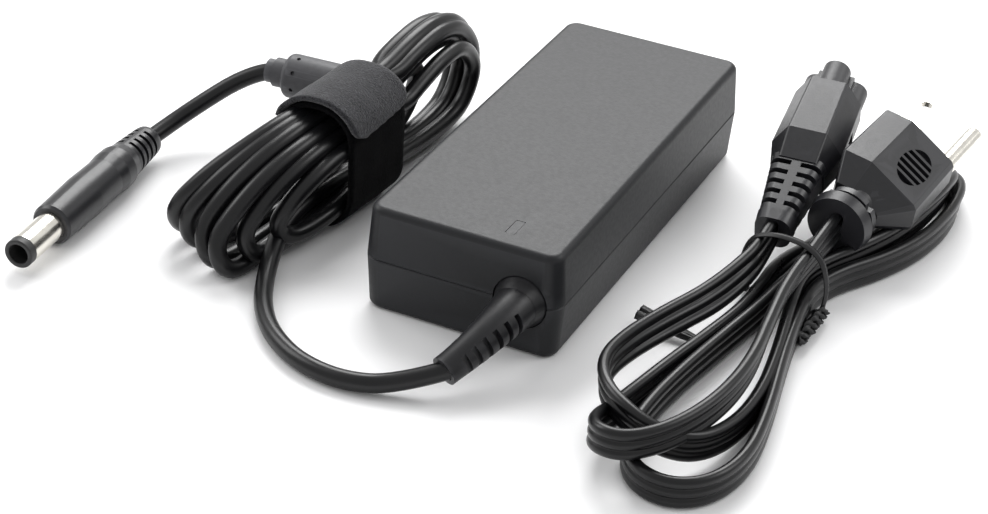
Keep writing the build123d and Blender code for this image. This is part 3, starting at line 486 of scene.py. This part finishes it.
near_inner = [
    (-44.8, -10.0, 21.2),
    (-44.8, -26.0, 22.0),
    (-45.4, -34.0, 22.0),
    (-46.8, -42.0, 20.0),
    (-49.4, -48.5, 15.5),
    (-51.8, -51.0, 9.8),
    (-50.0, -48.0, 5.8),
    (-48.0, -41.0, 5.4),
    (-46.2, -30.0, 6.4),
    (-45.2, -14.0, 8.4),
]
# each turn lies between two of those, by a share
near_turns = [
    (near_inner, near_fourth, 0.0),
    (near_inner, near_fourth, 0.55),
    (near_inner, near_fourth, 1.0),
    (near_fourth, near_third, 0.95),
    (near_third, near_left, 0.55),
    (near_third, near_left, 1.0),
]
# where each turn lies between the two at the far end, and its sideways shift there
turn_far_share = [0.10, 0.95, 0.35, 0.0, 0.65, 0.20]
turn_far_shift = [-1.8, 1.5, 0.0, 2.1, -1.5, 3.0]
last_half_turn = [
    (-54.0, 0.0, 5.0),
    (-54.5, 10.0, 4.5),
    (-54.5, 20.0, 6.0),
    (-54.0, 27.0, 13.0),
    (-53.0, 24.0, 20.5),
    (-52.0, 14.5, 22.5),
    (-54.0, 6.5, 21.4),
    (-60.5, 3.6, 20.2),
    (-69.0, 2.7, 20.0),
    (-78.6, 2.0, 20.0),
]


def dc_route():
    route = list(lead_route)
    for far_share, shift, near_turn in zip(turn_far_share, turn_far_shift, near_turns):
        for outer, inner in zip(far_outer, far_inner):
            x, y, z = mix(outer, inner, far_share)
            route.append((x + shift, y, z))
        first, second, near_share = near_turn
        for before, after in zip(first, second):
            route.append(mix(before, after, near_share))
    return route + last_half_turn + tail_route


dc_curve = nurbs_curve("dc_cord", dc_route())
dc_curve.bevel_depth = dc_diameter / 2 * MM
dc_curve.bevel_resolution = 5
dc_curve.use_fill_caps = True
dc_cord = bpy.data.objects.new("dc_cord", dc_curve)
scene.collection.objects.link(dc_cord)
dc_curve.materials.append(dc_jacket)
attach(dc_cord, "root")
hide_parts("dc_cord_lead", "dc_cord_tail", "dc_cord_hank")

# ---------------------------------------------------------------- mains cord
# Flat three-core cord, on edge for most of its way. Each point has the roll of the
# cord about its own line: 0 stands on edge, 90 lies flat.
mains_width = 7.6
mains_thickness = 2.8
mains_stops = [
    # connector, down the left side of the near loop and along its bottom
    (54.8, 2.0, 14.7, 4),
    (54.9, -7.0, 12.4, 10),
    (53.6, -16.0, 10.8, 28),
    (50.4, -28.0, 9.4, 42),
    (45.4, -41.0, 9.2, 34),
    (41.6, -55.0, 9.8, 22),
    (40.8, -68.0, 11.0, 10),
    (45.2, -78.0, 11.6, 4),
    (52.8, -83.6, 10.8, 0),
    (60.6, -85.0, 8.6, 0),
    (68.0, -80.5, 6.0, 0),
    (72.4, -69.0, 4.8, 0),
    (73.0, -54.0, 4.4, 0),
    (70.4, -36.0, 4.4, 0),
    (66.8, -18.0, 5.0, 0),
    (65.0, -5.0, 6.0, 0),
    # inner turn of the far end, flat on its way back under the plug
    (68.0, 4.0, 6.4, 0),
    (74.0, 13.5, 7.2, 0),
    (79.4, 26.0, 7.8, 0),
    (82.2, 40.0, 8.2, 4),
    (83.2, 52.0, 8.0, 14),
    (81.6, 61.5, 6.4, 35),
    (77.4, 64.5, 4.0, 60),
    (74.4, 57.0, 2.0, 84),
    (73.0, 42.0, 1.5, 90),
    (70.4, 26.0, 1.6, 88),
    (65.6, 10.0, 2.8, 45),
    (61.4, -4.0, 3.9, 0),
    # lowest turn of the near loop
    (60.0, -20.0, 3.9, 0),
    (57.0, -37.0, 3.9, 0),
    (54.2, -54.0, 3.9, 0),
    (52.6, -70.0, 3.9, 0),
    (53.2, -84.0, 3.9, 0),
    (58.4, -93.0, 3.9, 0),
    (67.5, -95.6, 3.9, 0),
    (75.4, -90.0, 3.9, 0),
    (78.8, -77.0, 3.9, 0),
    (76.4, -58.0, 3.9, 0),
    (71.8, -36.0, 3.9, 0),
    (68.8, -16.0, 3.9, 0),
    (68.4, -5.0, 3.9, 0),
    # outer turn of the far end
    (71.6, 4.5, 3.9, 0),
    (78.2, 15.0, 3.9, 0),
    (83.6, 27.5, 3.9, 0),
    (86.2, 41.0, 3.9, 0),
    (86.2, 54.0, 3.9, 8),
    (83.0, 64.5, 3.4, 35),
    (76.4, 68.5, 2.4, 70),
    (69.4, 62.5, 1.6, 90),
    (65.8, 48.0, 1.5, 90),
    (64.4, 33.0, 1.5, 90),
    (61.6, 18.0, 1.8, 80),
    (58.2, 3.0, 3.2, 40),
    (56.9, -10.0, 4.0, 0),
    # upper turn of the near loop, then up to the plug
    (56.8, -23.0, 4.0, 0),
    (53.8, -38.0, 4.0, 0),
    (50.6, -52.0, 4.0, 0),
    (48.2, -65.0, 4.1, 0),
    (46.8, -77.0, 5.4, 0),
    (46.8, -88.0, 9.0, 0),
    (50.4, -94.2, 11.2, 0),
    (56.4, -94.6, 11.4, 0),
    (62.4, -88.6, 11.6, 0),
    (67.0, -78.6, 11.8, 0),
    (69.6, -66.0, 12.0, 0),
    (69.6, -52.0, 12.0, 4),
    (67.2, -36.0, 12.0, 10),
    (65.4, -20.0, 12.4, 12),
    (66.2, -7.0, 13.2, 8),
    (67.0, 3.0, 14.0, -4),
    (67.8, 11.6, 14.9, -8),
]


def rib_outline(steps=8):
    """Section of the cord: three round cores side by side, as (across, through) offsets."""
    core_radius = mains_thickness / 2
    pitch = (mains_width - mains_thickness) / 2
    groove = math.radians(7)
    valley = math.acos(pitch / 2 / core_radius) + groove
    arcs = [
        (pitch, valley - math.pi, math.pi - valley),
        (0.0, valley, math.pi - valley),
        (-pitch, valley, 2 * math.pi - valley),
        (0.0, math.pi + valley, 2 * math.pi - valley),
    ]
    outline = []
    for centre, start, end in arcs:
        count = steps * 2 if centre else steps
        for step in range(count):
            angle = start + (end - start) * step / (count - 1)
            outline.append((centre + core_radius * math.cos(angle), core_radius * math.sin(angle)))
    return outline


def interpolate(value, places, results):
    """Piecewise linear lookup."""
    for before, after, first, second in zip(places, places[1:], results, results[1:]):
        if value <= after:
            return first + (second - first) * (value - before) / (after - before)
    return results[-1]


def flat_cord(name, stops, material):
    """Ribbed flat cord along its route, turned by the roll that each stop gives."""
    points = route_points(name, [stop[:3] for stop in stops])
    spans = len(stops) - 2
    places = [0.0] + [k + 0.5 for k in range(spans)] + [float(spans)]
    rolls = [stop[3] for stop in stops]
    outline = rib_outline()
    vertices = []
    for index, point in enumerate(points):
        ahead = points[min(index + 1, len(points) - 1)]
        behind = points[max(index - 1, 0)]
        along = (ahead - behind).normalized()
        side = along.cross(Vector((0, 0, 1))).normalized()
        rise = side.cross(along)
        share = spans * index / (len(points) - 1)
        roll = math.radians(interpolate(share, places, rolls))
        across = rise * math.cos(roll) + side * math.sin(roll)
        through = side * math.cos(roll) - rise * math.sin(roll)
        for a, b in outline:
            vertices.append(point + across * (a * MM) + through * (b * MM))
    faces = tube_faces(len(points), len(outline))
    return make_object(name, vertices, faces, material), points


mains_cord, mains_path = flat_cord("mains_cord", mains_stops, mains_jacket)
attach(mains_cord, "mains_lead")
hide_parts("mains_cord_hank")

# ---------------------------------------------------------------- cable strap
# Hook-and-loop tape round the hank; its free end is lapped over the top and ends on
# the right side with rounded corners.
strap_centre = (-51.0, 16.8)
strap_half = (10.2, 16.6)
strap_corner = 9.6
strap_near = -31.0
strap_far = -8.0
strap_skew = 0.09
strap_thickness = 1.3
tape_ripple = 0.25
lap_gap = 0.35
lap_thickness = 1.3
lap_overhang = 0.5
lap_corner = 4.5
# the lap starts and ends at these shares of the band's upper half, and its end is slanted
lap_start = 0.12
lap_end = 0.915
lap_slant = 0.0022
lap_corner_share = 0.019
lap_step = 0.35
lap_step_rows = 6.0
corner_steps = 14


def rounded_loop(centre, half, corner, offset):
    """Rounded rectangle, clockwise from the top of its left side, as (x, z, nx, nz)."""
    places = []
    signs = [(-1, 1), (1, 1), (1, -1), (-1, -1)]
    for turn, (side_x, side_z) in enumerate(signs):
        middle_x = centre[0] + side_x * (half[0] - corner)
        middle_z = centre[1] + side_z * (half[1] - corner)
        for step in range(corner_steps + 1):
            angle = math.pi - turn * math.pi / 2 - step * math.pi / 2 / corner_steps
            nx, nz = math.cos(angle), math.sin(angle)
            radius = corner + offset
            places.append((middle_x + nx * radius, middle_z + nz * radius, nx, nz))
    return places


def resample(places, spacing, closed):
    """The same line with evenly spaced places."""
    line = places + places[:1] if closed else places
    lengths = [0.0]
    for a, b in zip(line, line[1:]):
        lengths.append(lengths[-1] + math.hypot(b[0] - a[0], b[1] - a[1]))
    count = int(lengths[-1] / spacing)
    even = []
    index = 0
    for step in range(count + (0 if closed else 1)):
        wanted = lengths[-1] * step / count
        while index < len(lengths) - 2 and lengths[index + 1] < wanted:
            index += 1
        gap = lengths[index + 1] - lengths[index]
        share = (wanted - lengths[index]) / gap if gap else 0.0
        even.append(tuple(p + (q - p) * share for p, q in zip(line[index], line[index + 1])))
    return even


def tape_point(place, y, lift):
    """A point of the tape in metres; the band leans a little to the right at its far edge."""
    x, z, nx, nz = place
    skew = strap_skew * (y - (strap_near + strap_far) / 2)
    ripple = tape_ripple * noise.noise(Vector((x * 0.12, y * 0.16, z * 0.12)))
    return mm((x + nx * (lift + ripple) + skew, y, z + nz * (lift + ripple)))


def strap_band():
    """Closed band of tape round the hank."""
    loop = resample(rounded_loop(strap_centre, strap_half, strap_corner, 0.0), 1.0, True)
    across = 20
    vertices = []
    for place in loop:
        for lift in (0.0, -strap_thickness):
            for step in range(across + 1):
                y = strap_near + (strap_far - strap_near) * step / across
                vertices.append(tape_point(place, y, lift))
    ring = 2 * (across + 1)
    faces = []
    for here in range(len(loop)):
        following = (here + 1) % len(loop)
        for step in range(across):
            a, b = here * ring + step, following * ring + step
            faces.append((a, a + 1, b + 1, b))
            c, d = a + across + 1, b + across + 1
            faces.append((c, d, d + 1, c + 1))
        for step in (0, across):
            a, b = here * ring + step, following * ring + step
            faces.append((a, b, b + across + 1, a + across + 1))
    # the band's near-black colour is painted shade on the tape's sides
    return make_object("strap_band", vertices, faces, pile_shaded)


def strap_lap():
    """Free end of the tape over the band, with a slanted end and rounded corners."""
    whole = rounded_loop(strap_centre, strap_half, strap_corner, lap_gap)
    upper_half = whole[: 2 * (corner_steps + 1)]
    line = resample(upper_half, 0.25, False)
    middle = (strap_near + strap_far) / 2
    half_width = (strap_far - strap_near) / 2 + lap_overhang
    across = 28
    along = 70
    vertices = []
    for lift in (lap_thickness, 0.0):
        for row in range(along + 1):
            for step in range(across + 1):
                y = middle + half_width * (2 * step / across - 1)
                inset = max(0.0, abs(y - middle) - (half_width - lap_corner))
                drop = lap_corner - math.sqrt(max(0.0, lap_corner**2 - inset**2))
                last = lap_end - lap_slant * (y - middle) - drop * lap_corner_share
                share = lap_start + (last - lap_start) * row / along
                place = line[min(len(line) - 1, int(share * (len(line) - 1)))]
                rim = lap_step * min(1.0, row / lap_step_rows)
                vertices.append(tape_point(place, y, lift + rim))
    layer = (along + 1) * (across + 1)
    faces = []
    for row in range(along):
        for step in range(across):
            a = row * (across + 1) + step
            b = a + across + 1
            faces.append((a, b, b + 1, a + 1))
            faces.append((layer + a, layer + a + 1, layer + b + 1, layer + b))
    for row in range(along):
        for step in (0, across):
            a = row * (across + 1) + step
            b = a + across + 1
            faces.append((a, layer + a, layer + b, b))
    for step in range(across):
        for row in (0, along):
            a = row * (across + 1) + step
            faces.append((a, a + 1, layer + a + 1, layer + a))
    # the lap's lighter colour is painted light on the tape's top
    return make_object("strap_lap", vertices, faces, pile_lit)


band = strap_band()
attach(band, "root")
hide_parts("cable_strap")
lap = strap_lap()
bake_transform(lap)
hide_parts("cable_strap_tail")

# ---------------------------------------------------------------- twist tie


def sweep(name, points, section, turn_degrees):
    """An open strip along points (millimetres) that turns about its own line."""
    count = len(points)
    vertices = []
    rise = Vector((0, 0, 1))
    for index in range(count):
        along = Vector(points[min(index + 1, count - 1)]) - Vector(points[max(index - 1, 0)])
        along.normalize()
        side = along.cross(rise)
        side.normalize()
        up = side.cross(along)
        angle = math.radians(turn_degrees * index / (count - 1))
        first = side * math.cos(angle) + up * math.sin(angle)
        second = up * math.cos(angle) - side * math.sin(angle)
        for a, b in section:
            vertices.append(mm(Vector(points[index]) + first * a + second * b))
    return make_object(name, vertices, tube_faces(count, len(section)), tie_black)


def smooth_line(points, steps=6, closed=False):
    """Catmull-Rom line through points."""
    count = len(points)
    line = []
    for index in range(count if closed else count - 1):
        p0 = Vector(points[index - 1] if closed or index else points[0])
        p1 = Vector(points[index])
        p2 = Vector(points[(index + 1) % count])
        p3 = Vector(points[(index + 2) % count] if closed else points[min(index + 2, count - 1)])
        for step in range(steps):
            t = step / steps
            line.append(
                0.5
                * (
                    2 * p1
                    + (p2 - p0) * t
                    + (2 * p0 - 5 * p1 + 4 * p2 - p3) * t**2
                    + (3 * p1 - p0 - 3 * p2 + p3) * t**3
                )
            )
    if not closed:
        line.append(Vector(points[-1]))
    return line


# flat strip with a raised wire core
strip = [(1.1, 0.15), (0.45, 0.2), (0.25, 0.5), (-0.25, 0.5), (-0.45, 0.2), (-1.1, 0.15)]
strip = strip + [(a, -b) for a, b in reversed(strip)]
# the ring leans a little out of the plane across the bundle
tie_middle = (61.6, -7.0)
tie_lean = 0.12
ring_line = [
    (50.6, 11.2),
    (52.6, 15.4),
    (56.6, 17.5),
    (61.4, 18.2),
    (66.4, 17.6),
    (70.0, 15.2),
    (71.9, 10.6),
    (72.3, 6.0),
    (71.2, 1.8),
    (66.5, 0.6),
    (58.0, 0.6),
    (51.6, 1.2),
    (50.2, 5.6),
]
tie_ring = []
for x, z in ring_line:
    tie_ring.append((x, tie_middle[1] - tie_lean * (x - tie_middle[0]), z))
ring_points = smooth_line(tie_ring, closed=True)


def tie_band(points):
    """Closed flat strip whose width lies along the bundle."""
    vertices = []
    count = len(points)
    width_line = Vector((tie_lean, 1.0, 0.0)).normalized()
    for index in range(count):
        along = (points[(index + 1) % count] - points[index - 1]).normalized()
        out = along.cross(width_line).normalized()
        for a, b in strip:
            vertices.append(mm(points[index] + width_line * a + out * b))
    corners = len(strip)
    faces = tube_faces(count, corners, False)
    last = (count - 1) * corners
    for corner in range(corners):
        following = (corner + 1) % corners
        faces.append((last + corner, last + following, following, corner))
    return make_object("tie_ring", vertices, faces, tie_black)


tie_loop = tie_band(ring_points)
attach(tie_loop, "mains_lead")
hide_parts("twist_tie")


twist_start = (72.3, -8.4, 2.3)
twist_end = (71.7, -24.9, 2.6)
twist_turns = 3.2
twist_radius = 0.75
twist_swell = 0.35
twist_width = 0.9
# how far each strip turns about its own line, in degrees
twist_degrees = (1150, 1090)
tip_degrees = (55, 25)


def twisted_pair():
    """The two ends of the tie twisted round each other beside the bundle."""
    pieces = []
    steps = 60
    section = [(a * twist_width, b) for a, b in strip]
    for number in range(2):
        points = []
        for step in range(steps + 1):
            share = step / steps
            angle = share * math.tau * twist_turns + number * math.pi
            radius = twist_radius + twist_swell * math.sin(share * math.pi)
            x, y, z = mix(twist_start, twist_end, share)
            points.append((x + radius * math.cos(angle), y, z + radius * math.sin(angle)))
        pieces.append(sweep("tie_twist_" + str(number + 1), points, section, twist_degrees[number]))
    return pieces


def loose_tips():
    """Two cut ends of the tie that come out under the other side of the bundle."""
    pieces = []
    for number, spread in enumerate((-1.2, 1.3)):
        line = smooth_line(
            [
                (54.8, -34.4 + spread * 0.3, 1.3),
                (49.5, -34.0 + spread * 0.3, 1.6),
                (45.0, -33.6 + spread * 0.6, 2.2),
                (40.0, -33.0 + spread * 0.9, 2.8),
                (34.9, -32.6 + spread * 1.2, 3.6),
            ]
        )
        pieces.append(sweep("tie_tip_" + str(number + 1), line, strip, tip_degrees[number]))
    return pieces


tie_ends = twisted_pair() + loose_tips()
for piece in tie_ends:
    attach(piece, "mains_lead")
    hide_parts("twist_tie_ends")

# ---------------------------------------------------------------- floor
floor_mesh = bpy.data.meshes.new("floor")
half = 2.5
floor_corners = [(-half, -half, 0), (half, -half, 0), (half, half, 0), (-half, half, 0)]
floor_mesh.from_pydata(floor_corners, [], [(0, 1, 2, 3)])
floor = bpy.data.objects.new("floor", floor_mesh)
scene.collection.objects.link(floor)
floor_shader = Shader("floor_paper", (0.93, 0.93, 0.935), 0.5, specular=0.25)
floor_shader.bump(floor_shader.noise(300, 2.0), 0.02, 0.2)
floor_mesh.materials.append(floor_shader.material)
